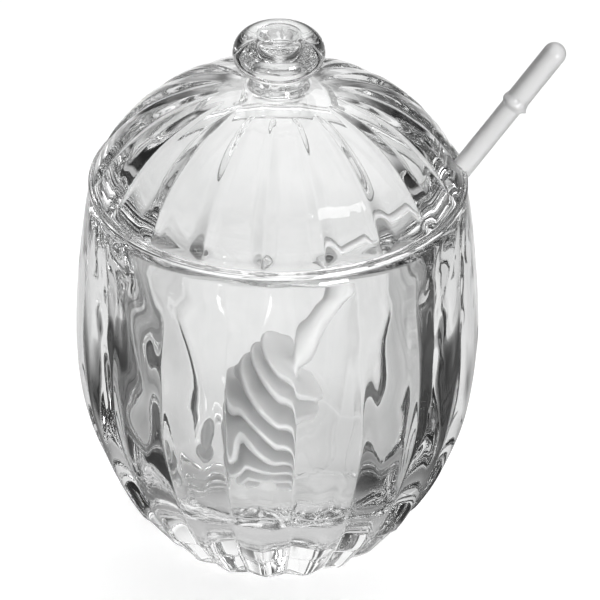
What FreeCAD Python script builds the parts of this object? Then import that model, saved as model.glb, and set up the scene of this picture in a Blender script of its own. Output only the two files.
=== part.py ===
import FreeCAD, Part
import os
import re
import Sketcher
from math import sqrt
from FreeCAD import Vector

# A pressed-glass honey pot with its lid and its dipper.
#
# Frame: millimetres, +Z up, origin on the pot's axis at the level of the foot's underside.
# The three pieces are separate solids: the pot stands on its foot, the lid rests on the pot's
# rim with a skirt inside the mouth, and the plastic dipper leans from the bottom of the bowl
# out through a notch where lid and pot meet.

# ---------------------------------------------------------------------------------------
# Driving sizes. Each is written once, here, and goes to a cell of the sheet.
# ---------------------------------------------------------------------------------------
SIZES = {
    # the pot's outside
    "pot_height": 96.5,
    "belly_radius": 50.0,
    "belly_height": 56.0,
    "rim_inset": 3.4,            # how far the rim is inside the belly
    "ring_inset": 13.9,          # the same where the barrel ends, above the foot
    "foot_height": 9.4,
    "foot_step": 0.5,            # how far the barrel stands out over the foot
    "foot_taper": 8.1,           # how far the foot's underside is inside the barrel's end
    "rim_round": 0.9,
    # the pot's inside: a plunger's shape, with draft, a flat floor and a round bowl
    "rim_wall": 4.6,
    "wall_draft": 2.6,
    "floor_height": 11.0,
    "floor_flat": 5.6,           # radius of the flat part of the floor
    # the flutes, V-shaped with slightly bulging sides
    "flute_count": 18,
    "flute_reach": 7.0,          # from the V's line to the end of a side
    "flute_rise": 2.5,           # how much a side climbs over that reach
    "flute_side_radius": 20.0,
    "flute_depth": 1.35,         # at the belly
    "flute_ring_depth": 2.4,     # at the barrel's end, above the foot
    "flute_tip_drop": 6.0,       # from the rim down to where the flute runs out
    "flute_overrun": 3.0,        # how far the cut goes past foot and rim
    "pot_turn": -4.7,
    # the lid
    "flank_inset": 4.6,          # how much tighter the flank's arc is than the rim
    "flank_drop": 13.75,         # centre of the flank's arc, below the joint
    "crown_ease": 23.1,          # how much flatter the crown's arc is than the flank's
    "crown_wall": 5.5,
    "inner_crown_ease": 12.0,    # how much flatter the inner crown is than the skirt
    "bead_reach": 0.35,
    "bead_height": 1.8,
    "bead_round": 0.6,
    "skirt_clearance": 0.5,
    "skirt_wall": 3.5,
    "skirt_depth": 3.5,
    "lid_flute_ease": 16.3,      # how much flatter the flutes' line is than the flank
    "lid_flute_depth": 1.35,
    "lid_flute_middle": 51.6,    # where on the flank the flutes are deepest
    "lid_flute_end": 76.0,       # where their upper ends run out, as an angle on their arc
    "lid_turn": 5.4,
    # the knob on the lid
    "collar_radius": 7.5,
    "neck_radius": 7.0,
    "neck_flare": 1.6,
    "neck_height": 4.1,
    "knob_ring_radius": 6.35,
    "knob_round": 5.15,
    "dish_depth": 2.4,
    "dish_round": 1.2,
    # the dipper
    "dipper_azimuth": 10.0,
    "dipper_overhang": 40.2,     # from the rim to the handle's upper end
    "dipper_foot": 15.0,         # from the pot's axis to the ball at the dipper's lower end
    "dipper_gap": 0.3,           # between that ball and the bowl
    "dipper_lift": 1.5,          # its axis above the joint, over the rim's outer edge
    "tip_radius": 3.0,
    "core_radius": 3.6,
    "head_start": 3.85,
    "head_end_radius": 9.5,
    "head_radius": 12.0,
    "disc_count": 8,
    "disc_pitch": 3.85,
    "disc_thickness": 1.6,       # at the core
    "disc_taper": 0.35,          # what a disc's face has lost of that at its rim
    "handle_radius": 2.7,
    "grip_radius": 2.95,
    "stop_radius": 3.35,         # the small collar between handle and grip
    "stop_length": 1.9,
    "grip_length": 21.0,
    "notch_clearance": 0.35,
}

# Sizes that follow from the driving ones, as expressions.
DERIVED = {
    # what follows the belly
    "rim_radius": "belly_radius - rim_inset",
    "ring_radius": "belly_radius - ring_inset",
    "foot_radius": "ring_radius - foot_taper",
    "mouth_radius": "rim_radius - rim_wall",
    # outside of the pot: two arcs that meet upright at the belly
    "barrel_lower_radius": "((belly_height - foot_height)^2 + (belly_radius - ring_radius)^2)"
                           " / (2 * (belly_radius - ring_radius))",
    "barrel_upper_radius": "((pot_height - belly_height)^2 + (belly_radius - rim_radius)^2)"
                           " / (2 * (belly_radius - rim_radius))",
    # inside of the pot: the bowl's arc touches the floor and the sloping wall
    "bowl_radius": "(mouth_radius - floor_flat - (pot_height - floor_height) * tan(wall_draft))"
                   " * cos(wall_draft) / (1 - sin(wall_draft))",
    "bowl_middle": "floor_height + bowl_radius",
    "bowl_top_radius": "floor_flat + bowl_radius * cos(wall_draft)",
    "bowl_top_height": "bowl_middle - bowl_radius * sin(wall_draft)",
    # the V's line on the pot
    "valley_radius": "belly_radius - flute_depth",
    "valley_ring": "ring_radius - flute_ring_depth",
    "flute_lower_radius": "((belly_height - foot_height)^2 + (valley_radius - valley_ring)^2)"
                          " / (2 * (valley_radius - valley_ring))",
    "valley_fall": "flute_lower_radius - valley_radius + valley_ring",
    "valley_foot": "valley_ring"
                   " - (foot_height + flute_overrun) * (belly_height - foot_height) / valley_fall",
    "flute_tip_rise": "pot_height - flute_tip_drop - belly_height",
    "flute_tip_radius": "belly_radius - barrel_upper_radius"
                        " + sqrt(barrel_upper_radius^2 - flute_tip_rise^2)",
    "flute_upper_radius": "(flute_tip_rise^2 + (valley_radius - flute_tip_radius)^2)"
                          " / (2 * (valley_radius - flute_tip_radius))",
    "valley_head_height": "pot_height + flute_overrun",
    "valley_head": "valley_radius - flute_upper_radius"
                   " + sqrt(flute_upper_radius^2 - (valley_head_height - belly_height)^2)",
    # the lid's outside: a flank arc from the rim, a crown arc over it, tangent to each other
    "flank_radius": "rim_radius - flank_inset",
    "crown_radius": "flank_radius + crown_ease",
    "flank_centre": "rim_radius - sqrt(flank_radius^2 - flank_drop^2)",
    "crown_rise": "sqrt((crown_radius - flank_radius)^2 - flank_centre^2)",
    "crown_centre_height": "pot_height - flank_drop - crown_rise",
    "join_radius": "flank_centre * crown_radius / (crown_radius - flank_radius)",
    "join_height": "crown_centre_height + crown_rise * crown_radius / (crown_radius - flank_radius)",
    "bead_radius": "rim_radius + bead_reach",
    "bead_top": "pot_height + bead_height",
    "flank_foot_radius": "flank_centre + sqrt(flank_radius^2 - (flank_drop + bead_height)^2)",
    # the lid's inside
    "skirt_radius": "mouth_radius - skirt_clearance",
    "skirt_inner_radius": "skirt_radius - skirt_wall",
    "inner_crown_radius": "skirt_inner_radius + inner_crown_ease",
    "inner_apex": "crown_centre_height + crown_radius - crown_wall",
    "inner_crown_drop": "inner_crown_radius - (inner_apex - pot_height)",
    "inner_flank_radius": "(inner_crown_radius^2 - skirt_inner_radius^2 - inner_crown_drop^2)"
                          " / (2 * (inner_crown_radius - skirt_inner_radius))",
    "inner_share": "inner_crown_radius / (inner_crown_radius - inner_flank_radius)",
    "inner_join_radius": "(skirt_inner_radius - inner_flank_radius) * inner_share",
    "inner_join_height": "pot_height - inner_crown_drop + inner_crown_drop * inner_share",
    # the V's line on the lid: an arc flatter than the flank, deepest at lid_flute_middle
    "lid_flute_radius": "flank_radius + lid_flute_ease",
    "lid_valley_back": "lid_flute_ease + lid_flute_depth",
    "lid_valley_centre": "flank_centre - lid_valley_back * cos(lid_flute_middle)",
    "lid_valley_height": "pot_height - flank_drop - lid_valley_back * sin(lid_flute_middle)",
    "lid_flute_start": "atan((bead_top - lid_valley_height)"
                       " / (bead_radius - lid_valley_centre)) / 1 deg",
    # the knob
    "neck_foot_height": "crown_centre_height + sqrt(crown_radius^2 - collar_radius^2)",
    "knob_height": "neck_foot_height + neck_height + knob_round",
    "neck_top_height": "knob_height - sqrt(knob_round^2 - (neck_radius - knob_ring_radius)^2)",
    "knob_top": "knob_height + knob_round",
    "dish_radius": "(knob_ring_radius^2 + dish_depth^2) / (2 * dish_depth)",
    # how the dipper lies: its ball in the bowl, its handle over the rim
    "ball_reach": "bowl_radius - tip_radius - dipper_gap",
    "ball_height": "bowl_middle - sqrt(ball_reach^2 - (dipper_foot - floor_flat)^2)",
    "dipper_run": "rim_radius + dipper_foot",
    "dipper_climb": "pot_height + dipper_lift - ball_height",
    "dipper_lean": "atan(dipper_run / dipper_climb) / 1 deg",
    "dipper_length": "sqrt(dipper_run^2 + dipper_climb^2) + dipper_overhang + tip_radius",
    "head_length": "(disc_count - 1) * disc_pitch + disc_thickness",
    "head_arc_radius": "(head_length^2 / 4 + (head_radius - head_end_radius)^2)"
                       " / (2 * (head_radius - head_end_radius))",
    "grip_top": "dipper_length - tip_radius - grip_radius",
    "stop_top": "dipper_length - tip_radius - grip_length",
    # the notch that lets it out
    "notch_radius": "handle_radius + notch_clearance",
    "notch_top": "pot_height + dipper_lift + bead_reach / tan(dipper_lean)"
                 " + notch_radius / sin(dipper_lean)",
}

doc = FreeCAD.newDocument("honey_pot")
sheet = doc.addObject("Spreadsheet::Sheet", "sizes")
for row, (alias, size) in enumerate(SIZES.items(), 1):
    sheet.set(f"A{row}", alias)
    sheet.set(f"B{row}", str(size))
    sheet.setAlias(f"B{row}", alias)
doc.recompute()


# ---------------------------------------------------------------------------------------
# Helpers
# ---------------------------------------------------------------------------------------
def bound(text):
    """An expression on the sheet: derived names are written out, driving names get their cell."""
    def cell(match):
        word = match.group(0)
        if word in DERIVED:
            return f"({bound(DERIVED[word])})"
        return f"sizes.{word}" if word in SIZES else word
    return re.sub(r"[a-z_]+", cell, text)


def worth(text):
    """The number an expression gives now."""
    result = sheet.evalExpression(bound(text))
    return float(getattr(result, "Value", result))


def origin_feature(body, role):
    return next(item for item in body.Origin.OriginFeatures if item.Role == role)


def new_sketch(body, name, plane, offset=None):
    """A sketch on one of the body's own planes; offset is a placement expression."""
    sketch = body.newObject("Sketcher::SketchObject", name)
    sketch.AttachmentSupport = [(origin_feature(body, plane), "")]
    sketch.MapMode = "FlatFace"
    if offset:
        sketch.setExpression("AttachmentOffset", bound(offset))
    return sketch


def pin(sketch, edge, point, corner):
    """Hold one end of an edge at a corner given by two expressions."""
    for kind, axis, text in (("DistanceX", -2, corner[0]), ("DistanceY", -1, corner[1])):
        if text == "0":
            sketch.addConstraint(Sketcher.Constraint("PointOnObject", edge, point, axis))
            continue
        index = sketch.addConstraint(Sketcher.Constraint(kind, -1, 1, edge, point, worth(text)))
        sketch.setExpression(f"Constraints[{index}]", bound(text))


def draw(sketch, corners, closed=True):
    """Draw an outline through corners. Each is (across, up), and the edge that leaves it is
    straight, or an arc where (across, up, radius, side) gives a radius and the side of its
    centre: 1 for left of the way of travel, -1 for right."""
    places = [Vector(worth(corner[0]), worth(corner[1]), 0) for corner in corners]
    edges = len(corners) if closed else len(corners) - 1
    for index in range(edges):
        start = places[index]
        end = places[(index + 1) % len(corners)]
        if len(corners[index]) == 2:
            sketch.addGeometry(Part.LineSegment(start, end))
            continue
        radius = worth(corners[index][2])
        side = corners[index][3]
        chord = end - start
        left = Vector(-chord.y, chord.x, 0).normalize()
        middle = (start + end) * 0.5
        centre = middle + left * side * sqrt(radius**2 - chord.Length**2 / 4)
        bulge = middle - left * side * (radius - (middle - centre).Length)
        sketch.addGeometry(Part.Arc(start, bulge, end))
    for index in range(edges):
        # a left-hand arc keeps its travel's start as point 1, a right-hand one swaps the two
        arc = len(corners[index]) == 4
        first, last = (2, 1) if arc and corners[index][3] < 0 else (1, 2)
        pin(sketch, index, first, corners[index])
        if closed or index < edges - 1:
            follower = (index + 1) % edges
            swapped = len(corners[follower]) == 4 and corners[follower][3] < 0
            meets = 2 if swapped else 1
            sketch.addConstraint(Sketcher.Constraint("Coincident", index, last, follower, meets))
        else:
            pin(sketch, index, last, corners[-1])
        if arc:
            radius = worth(corners[index][2])
            number = sketch.addConstraint(Sketcher.Constraint("Radius", index, radius))
            sketch.setExpression(f"Constraints[{number}]", bound(corners[index][2]))


def revolved(body, name, corners, kind="PartDesign::Revolution"):
    """Turn an outline, given as (radius, height) corners, about the body's upright axis."""
    sketch = new_sketch(body, f"{name}_section", "XZ_Plane")
    draw(sketch, corners)
    feature = body.newObject(kind, name)
    feature.Profile = sketch
    feature.ReferenceAxis = (sketch, ["V_Axis"])
    feature.Angle = 360
    doc.recompute()
    return feature


def rounded(body, name, base, radius, circles):
    """Round the full circles of the base that have the given (radius, height) expressions."""
    wanted = [(worth(across), worth(up)) for across, up in circles]
    names = []
    for number, edge in enumerate(base.Shape.Edges, 1):
        if edge.Degenerated or not isinstance(edge.Curve, Part.Circle):
            continue
        for across, up in wanted:
            circle = edge.Curve
            if abs(circle.Radius - across) < 1e-3 and abs(circle.Center.z - up) < 1e-3:
                names.append(f"Edge{number}")
    if len(names) != len(wanted):
        raise RuntimeError(f"{name}: {len(names)} edges found for {len(wanted)} circles")
    fillet = body.newObject("PartDesign::Fillet", name)
    fillet.Base = (base, names)
    fillet.setExpression("Radius", bound(radius))
    doc.recompute()
    return fillet


def repeated(body, name, feature, count):
    """Repeat a cut around the body's upright axis."""
    pattern = body.newObject("PartDesign::PolarPattern", name)
    pattern.Originals = [feature]
    pattern.Axis = (origin_feature(body, "Z_Axis"), [""])
    pattern.Angle = 360
    pattern.setExpression("Occurrences", bound(count))
    body.Tip = pattern
    doc.recompute()
    return pattern


def must_cut(before, feature):
    """A cut that points away from the solid removes nothing and says nothing."""
    if feature.Shape.Volume > before - 0.01:
        raise RuntimeError(f"{feature.Name} cuts nothing")


def new_body(name):
    body = doc.addObject("PartDesign::Body", name)
    body.Label = name
    return body


def flute_section(sketch, radius):
    """The V of a flute, with its line at the given radius and its open side outwards."""
    outer = f"{radius} + flute_rise"
    top = f"{outer} + 2 * flute_rise"
    draw(sketch, [
        (radius, "0", "flute_side_radius", 1),
        (outer, "flute_reach"),
        (top, "flute_reach"),
        (top, "-flute_reach"),
        (outer, "-flute_reach", "flute_side_radius", 1),
    ])


# ---------------------------------------------------------------------------------------
# The pot
# ---------------------------------------------------------------------------------------
def make_pot():
    body = new_body("pot")
    glass = revolved(body, "pot_glass", [
        ("0", "0"),
        ("foot_radius", "0"),
        ("ring_radius - foot_step", "foot_height"),
        ("ring_radius", "foot_height", "barrel_lower_radius", 1),
        ("belly_radius", "belly_height", "barrel_upper_radius", 1),
        ("rim_radius", "pot_height"),
        ("mouth_radius", "pot_height"),
        ("bowl_top_radius", "bowl_top_height", "bowl_radius", -1),
        ("floor_flat", "floor_height"),
        ("0", "floor_height"),
    ])
    rim = [("rim_radius", "pot_height"), ("mouth_radius", "pot_height")]
    soft = rounded(body, "pot_rim", glass, "rim_round", rim)

    # The flutes: one V swept down a line of two arcs and a straight run, then repeated.
    line = new_sketch(body, "flute_line", "XZ_Plane")
    draw(line, [
        ("valley_head", "valley_head_height", "flute_upper_radius", -1),
        ("valley_radius", "belly_height", "flute_lower_radius", -1),
        ("valley_ring", "foot_height"),
        ("valley_foot", "-flute_overrun"),
    ], closed=False)
    section = new_sketch(body, "flute_section", "XY_Plane",
                         "placement(vector(0; 0; valley_head_height); rotation(0; 0; 0))")
    flute_section(section, "valley_head")
    doc.recompute()
    flute = body.newObject("PartDesign::SubtractivePipe", "flute")
    flute.Profile = section
    flute.Spine = (line, ["Edge1", "Edge2", "Edge3"])
    doc.recompute()
    must_cut(soft.Shape.Volume, flute)
    flutes = repeated(body, "flutes", flute, "flute_count")

    # The notch: a channel along the dipper's handle, open upwards.
    section = new_sketch(body, "pot_notch_section", "XY_Plane",
                         "placement(vector(rim_radius * cos(dipper_azimuth - pot_turn);"
                         " rim_radius * sin(dipper_azimuth - pot_turn); pot_height + dipper_lift);"
                         " rotation(vector(0; 0; 1); dipper_azimuth - pot_turn)"
                         " * rotation(vector(0; 1; 0); dipper_lean))")
    draw(section, [
        ("-5 * notch_radius", "-notch_radius"),
        ("0", "-notch_radius", "notch_radius", 1),
        ("notch_radius", "0", "notch_radius", 1),
        ("0", "notch_radius"),
        ("-5 * notch_radius", "notch_radius"),
    ])
    notch = body.newObject("PartDesign::Pocket", "pot_notch")
    notch.Profile = section
    notch.Midplane = True
    notch.setExpression("Length", bound("4 * (rim_radius - mouth_radius) / sin(dipper_lean)"))
    doc.recompute()
    must_cut(flutes.Shape.Volume, notch)
    body.setExpression("Placement", bound("placement(vector(0; 0; 0); rotation(vector(0; 0; 1);"
                                          " pot_turn))"))
    return body


# ---------------------------------------------------------------------------------------
# The lid
# ---------------------------------------------------------------------------------------
def make_lid():
    body = new_body("lid")
    glass = revolved(body, "lid_glass", [
        ("0", "inner_apex", "inner_crown_radius", -1),
        ("inner_join_radius", "inner_join_height", "inner_flank_radius", -1),
        ("skirt_inner_radius", "pot_height"),
        ("skirt_inner_radius", "pot_height - skirt_depth"),
        ("skirt_radius", "pot_height - skirt_depth"),
        ("skirt_radius", "pot_height"),
        ("bead_radius", "pot_height"),
        ("bead_radius", "bead_top"),
        ("flank_foot_radius", "bead_top", "flank_radius", 1),
        ("join_radius", "join_height", "crown_radius", 1),
        ("collar_radius", "neck_foot_height"),
        ("neck_radius", "neck_foot_height + neck_flare"),
        ("neck_radius", "neck_top_height", "knob_round", 1),
        ("knob_ring_radius + knob_round", "knob_height", "knob_round", 1),
        ("knob_ring_radius", "knob_top", "dish_radius", -1),
        ("0", "knob_top - dish_depth"),
    ])
    bead = [("bead_radius", "pot_height"), ("bead_radius", "bead_top")]
    soft = rounded(body, "lid_bead", glass, "bead_round", bead)
    dish = rounded(body, "knob_dish", soft, "dish_round", [("knob_ring_radius", "knob_top")])

    # The flutes: the same V turned about a level axis, which gives it an arched line. The turn
    # starts level with the bead's upper corner, so that the bead stays whole.
    section = new_sketch(body, "lid_flute_section", "XY_Plane",
                         "placement(vector(lid_valley_centre; 0; lid_valley_height);"
                         " rotation(vector(0; 1; 0); -lid_flute_start))")
    flute_section(section, "lid_flute_radius")
    flute = body.newObject("PartDesign::Groove", "lid_flute")
    flute.Profile = section
    flute.ReferenceAxis = (section, ["V_Axis"])
    flute.Reversed = True
    flute.setExpression("Angle", bound("lid_flute_end - lid_flute_start"))
    doc.recompute()
    must_cut(dish.Shape.Volume, flute)
    flutes = repeated(body, "lid_flutes", flute, "flute_count")

    # The notch: an arch through bead and skirt, upright, so that the lid lifts off.
    section = new_sketch(body, "lid_notch_section", "YZ_Plane",
                         "placement(vector(bead_radius * 1.1 * sin(dipper_azimuth - lid_turn);"
                         " 0; bead_radius * 1.1 * cos(dipper_azimuth - lid_turn));"
                         " rotation(vector(0; 1; 0); dipper_azimuth - lid_turn))")
    draw(section, [
        ("-notch_radius", "pot_height - 2 * skirt_depth"),
        ("notch_radius", "pot_height - 2 * skirt_depth"),
        ("notch_radius", "notch_top - notch_radius", "notch_radius", 1),
        ("0", "notch_top", "notch_radius", 1),
        ("-notch_radius", "notch_top - notch_radius"),
    ])
    notch = body.newObject("PartDesign::Pocket", "lid_notch")
    notch.Profile = section
    notch.setExpression("Length", bound("bead_radius * 1.1 - skirt_inner_radius + skirt_wall"))
    doc.recompute()
    must_cut(flutes.Shape.Volume, notch)
    body.setExpression("Placement", bound("placement(vector(0; 0; 0); rotation(vector(0; 0; 1);"
                                          " lid_turn))"))
    return body


# ---------------------------------------------------------------------------------------
# The dipper
# ---------------------------------------------------------------------------------------
def make_dipper():
    """Made upright with its lower ball's centre at the origin, then laid in the pot."""
    body = new_body("dipper")
    stick = revolved(body, "dipper_stick", [
        ("0", "-tip_radius", "tip_radius", 1),
        ("tip_radius", "0"),
        ("core_radius", "head_start"),
        ("head_end_radius", "head_start", "head_arc_radius", 1),
        ("head_end_radius", "head_start + head_length"),
        ("handle_radius", "head_start + head_length"),
        ("handle_radius", "stop_top - stop_length"),
        ("stop_radius", "stop_top - stop_length"),
        ("stop_radius", "stop_top"),
        ("grip_radius", "stop_top"),
        ("grip_radius", "grip_top", "grip_radius", 1),
        ("0", "grip_top + grip_radius"),
    ])
    slot = revolved(body, "disc_slot", [
        ("core_radius", "head_start + disc_thickness"),
        ("head_radius", "head_start + disc_thickness - disc_taper"),
        ("head_radius + core_radius", "head_start + disc_thickness - disc_taper"),
        ("head_radius + core_radius", "head_start + disc_pitch + disc_taper"),
        ("head_radius", "head_start + disc_pitch + disc_taper"),
        ("core_radius", "head_start + disc_pitch"),
    ], "PartDesign::Groove")
    must_cut(stick.Shape.Volume, slot)
    slots = body.newObject("PartDesign::LinearPattern", "disc_slots")
    slots.Originals = [slot]
    slots.Direction = (origin_feature(body, "Z_Axis"), [""])
    slots.setExpression("Length", bound("(disc_count - 2) * disc_pitch"))
    slots.setExpression("Occurrences", bound("disc_count - 1"))
    body.Tip = slots
    doc.recompute()
    must_cut(slot.Shape.Volume, slots)
    body.setExpression("Placement", bound("placement(vector(-dipper_foot * cos(dipper_azimuth);"
                                          " -dipper_foot * sin(dipper_azimuth); ball_height);"
                                          " rotation(vector(0; 0; 1); dipper_azimuth)"
                                          " * rotation(vector(0; 1; 0); dipper_lean))"))
    return body


# ---------------------------------------------------------------------------------------
# Build, check and write
# ---------------------------------------------------------------------------------------
pieces = [make_pot(), make_lid(), make_dipper()]
doc.recompute()

for item in doc.Objects:
    if any(state in ("Invalid", "Error") for state in item.State):
        raise RuntimeError(f"{item.Name} failed: {item.State}")
for piece in pieces:
    if piece.Shape.isNull() or not piece.Shape.isValid() or len(piece.Shape.Solids) != 1:
        raise RuntimeError(f"{piece.Label} is not one valid solid")

os.makedirs("parts", exist_ok=True)
for piece in pieces:
    piece.Shape.exportStep(f"parts/{piece.Label}.step")
    box = piece.Shape.BoundBox
    print(f"{piece.Label}: {piece.Shape.Volume / 1000:.1f} cm3, {box.XLength:.1f} x"
          f" {box.YLength:.1f} x {box.ZLength:.1f} mm, z {box.ZMin:.2f} to {box.ZMax:.2f}")
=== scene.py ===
# %% [markdown]
# # A pressed-glass honey pot, its lid and its dipper
#
# The object is three things: a fluted barrel of clear pressed glass, a fluted domed lid with a
# ringed knob, and a milky plastic dipper that leans in the pot and comes out through a notch at
# the back of the rim. The CAD frame gives their places; this script gives them surfaces fine
# enough for glass, which shows every facet, and then light that glass can show.

# %% Load the frame
from math import atan, atan2, cos, pi, radians, sin, sqrt, tan

import bpy
import numpy as np
from mathutils import Matrix, Vector


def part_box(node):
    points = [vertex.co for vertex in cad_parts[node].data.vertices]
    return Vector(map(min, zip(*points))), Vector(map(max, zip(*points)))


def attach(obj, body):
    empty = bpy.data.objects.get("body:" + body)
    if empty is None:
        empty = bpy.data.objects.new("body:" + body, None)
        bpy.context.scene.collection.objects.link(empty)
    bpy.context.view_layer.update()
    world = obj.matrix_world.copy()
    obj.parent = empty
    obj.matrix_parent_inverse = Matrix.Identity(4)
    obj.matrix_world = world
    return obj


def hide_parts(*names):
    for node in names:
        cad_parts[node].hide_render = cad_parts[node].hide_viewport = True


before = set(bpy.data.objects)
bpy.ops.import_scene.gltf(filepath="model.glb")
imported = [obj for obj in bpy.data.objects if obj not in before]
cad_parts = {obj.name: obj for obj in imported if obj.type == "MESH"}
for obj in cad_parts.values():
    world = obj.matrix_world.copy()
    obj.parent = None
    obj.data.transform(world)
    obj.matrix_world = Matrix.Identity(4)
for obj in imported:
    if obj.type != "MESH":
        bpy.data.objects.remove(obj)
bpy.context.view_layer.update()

MM = 0.001
print("nodes:", sorted(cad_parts))

# %% [markdown]
# ## Reading the sizes that the pieces share
#
# The rim is where everything meets: the lid sits on it and the dipper leaves over it. So its
# height comes from the frame, and so do the knob's top and the dipper's two ends.

# %% Shared sizes, in millimetres
pot_low, pot_high = (np.array(corner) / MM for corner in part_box("pot"))
lid_low, lid_high = (np.array(corner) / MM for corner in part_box("lid"))
dip_low, dip_high = (np.array(corner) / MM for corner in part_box("dipper"))

RIM = pot_high[2]                      # the level where lid and pot meet
BELLY = (pot_high[0] - pot_low[0]) / 2
BEAD = (lid_high[0] - lid_low[0]) / 2
FLUTES = 18
POT_TURN, LID_TURN = -4.7, 5.4         # degrees: where the first flute of each piece stands
print(f"rim at {RIM:.1f}, lid top at {lid_high[2]:.1f}, radius {BELLY:.1f} and {BEAD:.1f}")

# %% [markdown]
# ## Curves that a profile is made of
#
# Pressed glass is designed as a section: straight runs and arcs, turned about an axis. Each run
# here is an array of (radius, height) points, and runs are simply put one after another.

# %% Runs of a profile
SAME_POINT = 0.01                      # mm: nearer than this, two runs share a point


def arc(centre, radius, start, end, count):
    """Points at centre + radius * (cos t, sin t), with t from start to end in degrees."""
    t = np.radians(np.linspace(start, end, count))
    return np.column_stack([centre[0] + radius * np.cos(t), centre[1] + radius * np.sin(t)])


def line(start, end, count):
    """Points evenly between two ends: start + t * (end - start)."""
    t = np.linspace(0, 1, count)[:, None]
    return np.array(start) + t * (np.array(end) - np.array(start))


def angle_of(centre, point):
    """The direction from a centre to a point, in degrees."""
    return np.degrees(atan2(point[1] - centre[1], point[0] - centre[0]))


def joined(*runs):
    """The runs as one profile, without the points that two runs share."""
    points = np.vstack(runs)
    gap = np.hypot(*np.diff(points, axis=0).T)
    return points[np.concatenate([[True], gap > SAME_POINT])]


print("a quarter of a circle in three points:", arc((0, 0), 1, 0, 90, 3).round(2).tolist())

# %% [markdown]
# ## The V of a flute
#
# Each flute is a narrow V pressed into the wall. Its bottom is a tight round, its sides are
# steepest there, and they ease into the wall without an edge, because the fire polish softens
# every shoulder. A V could be cut with a Boolean along a path, but its shoulders would be hard.
# A power of what is left of the width gives the soft ones, and width and depth are free to
# change along the flute.

# %% Flute formulas
BOTTOM_ROUND = 0.3                     # mm: how tight the round at the bottom of the V is
EASE = 1.5                             # 1 is a V with straight sides, 2 is a parabola
COLUMNS = 24                           # columns of the grid in each flute
CROWDING = 1.45                        # over 1, columns crowd towards the flute's line


def flute_cut(across, width, depth):
    """How deep a flute is at a distance from its line: depth * (1 - distance / width) ** EASE,
    and nothing beyond the width. The distance is rounded off near the line itself."""
    away = np.sqrt(across**2 + BOTTOM_ROUND**2) - BOTTOM_ROUND
    return depth * np.clip(1 - away / np.maximum(width, 1e-3), 0, 1)**EASE


def columns(turn):
    """Angles of the grid's columns. Within each flute they crowd towards its line, where the
    shape is sharp. Returns the angles and each one's angle from its own flute's line."""
    u = np.linspace(-1, 1, COLUMNS, endpoint=False)
    own = np.sign(u) * np.abs(u)**CROWDING * pi / FLUTES
    start = radians(turn) + np.arange(FLUTES) * 2 * pi / FLUTES
    return (start[:, None] + own).ravel(), np.tile(own, FLUTES)


print(f"{FLUTES} flutes of {COLUMNS} columns: {len(columns(POT_TURN)[0])} columns in all")

# %% [markdown]
# ## From a grid to a closed mesh
#
# A Screw modifier could turn a profile, but it can't change it on the way round, as flutes do.
# So a turned piece is a grid: rows run along the profile and columns round the axis. The rows
# at both ends shrink to a point on the axis, which closes the skin, and glass needs a closed
# skin because light bends on the way in and again on the way out.

# %% Mesh helpers
def new_object(name, points, faces, smooth=True):
    """An object at the origin with its place in its mesh. Points come in millimetres."""
    mesh = bpy.data.meshes.new(name)
    mesh.from_pydata((np.asarray(points) * MM).tolist(), [], [list(f) for f in faces])
    mesh.polygons.foreach_set("use_smooth", [smooth] * len(mesh.polygons))
    mesh.update()
    piece = bpy.data.objects.new(name, mesh)
    bpy.context.scene.collection.objects.link(piece)
    return piece


def corners_of(mesh):
    """The mesh's points as rows of x, y and z, in metres."""
    spots = np.empty(len(mesh.vertices) * 3)
    mesh.vertices.foreach_get("co", spots)
    return spots.reshape(-1, 3)


def volume_of(piece):
    """Signed volume in cubic centimetres: the sum over triangles of a . (b x c) / 6."""
    mesh = piece.data
    mesh.calc_loop_triangles()
    corners = np.empty(len(mesh.loop_triangles) * 3, np.int32)
    mesh.loop_triangles.foreach_get("vertices", corners)
    a, b, c = corners_of(mesh)[corners.reshape(-1, 3)].transpose(1, 0, 2)
    return float(np.einsum("ij,ij->i", a, np.cross(b, c)).sum() / 6 * 1e6)


def facing_out(piece):
    """The piece with its faces turned outwards: a skin that is inside out has less than no
    volume."""
    if volume_of(piece) < 0:
        piece.data.flip_normals()
    return piece


# %% A closed skin from a grid
def turned(name, radius, height, theta):
    """A closed skin from rows of (radius, height) over columns of angle theta: the point is
    (radius cos theta, radius sin theta, height). The first and last rows are poles."""
    rows, cols = radius.shape
    x, y = radius * np.cos(theta), radius * np.sin(theta)
    inner = np.stack([x, y, height], axis=-1)[1:-1].reshape(-1, 3)
    poles = np.array([[0, 0, height[0].mean()], [0, 0, height[-1].mean()]])
    points = np.vstack([inner, poles])
    j = np.arange(cols)
    k = (j + 1) % cols
    base = (np.arange(rows - 3) * cols)[:, None]
    quads = np.stack([base + j, base + k, base + cols + k, base + cols + j], -1).reshape(-1, 4)
    last = (rows - 3) * cols
    top = np.column_stack([np.full(cols, len(inner)), k, j])
    bottom = np.column_stack([np.full(cols, len(inner) + 1), last + j, last + k])
    piece = facing_out(new_object(name, points, [*quads.tolist(), *top.tolist(), *bottom.tolist()]))
    print(f"{name}: {len(quads) * 2 + 2 * cols} triangles, {volume_of(piece):.1f} cm3")
    return piece


# %% [markdown]
# ## The waviness of pressed glass
#
# Pressed glass is never quite true. Its skin shrinks unevenly as it cools, and the dark and
# bright outlines in it wander because of that. A few long sine waves, about a tenth of a
# millimetre high and turned different ways, give that wander without any random numbers. Bump
# in the material could bend the light as well, but the outline would stay stiff.

# %% Waviness
WAVES = (37.0, 23.0, 15.0, 9.5)        # mm from crest to crest, and the long ones are the highest
TURN_STEP, TILT_STEP, SEED_TILT = 2.4, 1.7, 0.6   # radians that turn each wave its own way
PHASE_STEP = 5.1


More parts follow.
